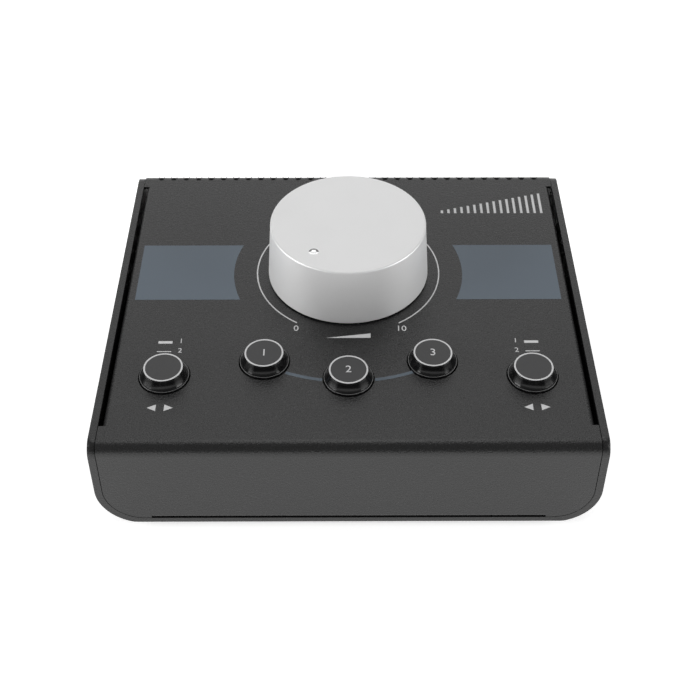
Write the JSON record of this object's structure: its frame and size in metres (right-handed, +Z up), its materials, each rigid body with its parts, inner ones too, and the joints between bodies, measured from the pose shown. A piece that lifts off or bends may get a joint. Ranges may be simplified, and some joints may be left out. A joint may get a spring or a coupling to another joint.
{
  "type": "studio monitor controller",
  "caption": "Desktop wedge-shaped passive audio monitor controller with a large turning volume knob, round push buttons and rear phone sockets.",
  "frame": {"origin": "bottom centre of the whole object, on the surface its feet stand on", "axes": "+X to the right of a person at the front, +Y to the rear sockets, +Z up"},
  "size_m": [0.195, 0.1731, 0.0844],
  "materials": {
    "tray_paint": "fine textured black paint",
    "cover_paint": "fine textured black paint with pale printing",
    "rear_paint": "fine textured black paint",
    "satin_aluminium": "bead-blasted satin",
    "black_plastic": "moulded",
    "black_steel": "black zinc",
    "plated_steel": "zinc plated",
    "board_laminate": "solder mask",
    "cable_grey": "flat cable jacket",
    "socket_nut": "moulded",
    "foot_rubber": "matt",
    "socket_plastic": "moulded",
    "gloss_cap": "gloss with a printed pale ring",
    "switch_plastic": "moulded",
    "spring_steel": "drawn wire"
  },
  "bodies": {
    "case": {"base_screws": "black_steel", "bottom_tray": "tray_paint", "control_board": "board_laminate", "control_board_header": "black_plastic", "control_board_screws": "plated_steel", "control_board_standoffs": "plated_steel", "dim_return_spring": "spring_steel", "dim_switch_housing": "switch_plastic", "front_left_foot": "foot_rubber", "front_right_foot": "foot_rubber", "media_socket": "socket_plastic", "media_socket_nut": "socket_nut", "monitor_a_left_socket": "socket_plastic", "monitor_a_right_socket": "socket_plastic", "monitor_b_left_socket": "socket_plastic", "monitor_b_right_socket": "socket_plastic", "monitor_return_spring": "spring_steel", "monitor_switch_housing": "switch_plastic", "mono_return_spring": "spring_steel", "mono_switch_housing": "switch_plastic", "mute_return_spring": "spring_steel", "mute_switch_housing": "switch_plastic", "pot_bushing": "plated_steel", "pot_housing": "black_plastic", "pot_nut": "plated_steel", "pot_washer": "plated_steel", "rear_left_foot": "foot_rubber", "rear_panel": "rear_paint", "rear_right_foot": "foot_rubber", "rear_screws": "black_steel", "ribbon_cable": "cable_grey", "socket_board": "board_laminate", "socket_board_header": "black_plastic", "socket_board_screws": "plated_steel", "socket_board_standoffs": "plated_steel", "socket_nuts": "socket_nut", "source_a_left_socket": "socket_plastic", "source_a_right_socket": "socket_plastic", "source_b_left_socket": "socket_plastic", "source_b_right_socket": "socket_plastic", "source_return_spring": "spring_steel", "source_switch_housing": "switch_plastic", "top_cover": "cover_paint"},
    "volume": {"volume_knob": "satin_aluminium", "knob_hub": "black_plastic", "pot_shaft": "plated_steel", "pot_rotor": "black_plastic"},
    "source_button": {"source_button_cap": "gloss_cap", "source_switch_plunger": "switch_plastic"},
    "mono_button": {"mono_button_cap": "gloss_cap", "mono_switch_plunger": "switch_plastic"},
    "mute_button": {"mute_button_cap": "gloss_cap", "mute_switch_plunger": "switch_plastic"},
    "dim_button": {"dim_button_cap": "gloss_cap", "dim_switch_plunger": "switch_plastic"},
    "monitor_button": {"monitor_button_cap": "gloss_cap", "monitor_switch_plunger": "switch_plastic"}
  },
  "joints": [
    {"name": "volume_turn", "type": "hinge", "parent": "case", "child": "volume", "pos_m": [0, 0.01293, 0.0547], "axis": [0, -0.1045, 0.9945], "range_deg": [-300, 0]},
    {"name": "source_press", "type": "slide", "parent": "case", "child": "source_button", "axis": [0, -0.1045, 0.9945], "range_m": [-0.003, 0], "stiffness_N_per_m": 400, "springref_m": 0.0015, "deforming": ["source_return_spring"]},
    {"name": "mono_press", "type": "slide", "parent": "case", "child": "mono_button", "axis": [0, -0.1045, 0.9945], "range_m": [-0.003, 0], "stiffness_N_per_m": 400, "springref_m": 0.0015, "deforming": ["mono_return_spring"]},
    {"name": "mute_press", "type": "slide", "parent": "case", "child": "mute_button", "axis": [0, -0.1045, 0.9945], "range_m": [-0.003, 0], "stiffness_N_per_m": 400, "springref_m": 0.0015, "deforming": ["mute_return_spring"]},
    {"name": "dim_press", "type": "slide", "parent": "case", "child": "dim_button", "axis": [0, -0.1045, 0.9945], "range_m": [-0.003, 0], "stiffness_N_per_m": 400, "springref_m": 0.0015, "deforming": ["dim_return_spring"]},
    {"name": "monitor_press", "type": "slide", "parent": "case", "child": "monitor_button", "axis": [0, -0.1045, 0.9945], "range_m": [-0.003, 0], "stiffness_N_per_m": 400, "springref_m": 0.0015, "deforming": ["monitor_return_spring"]}
  ]
}
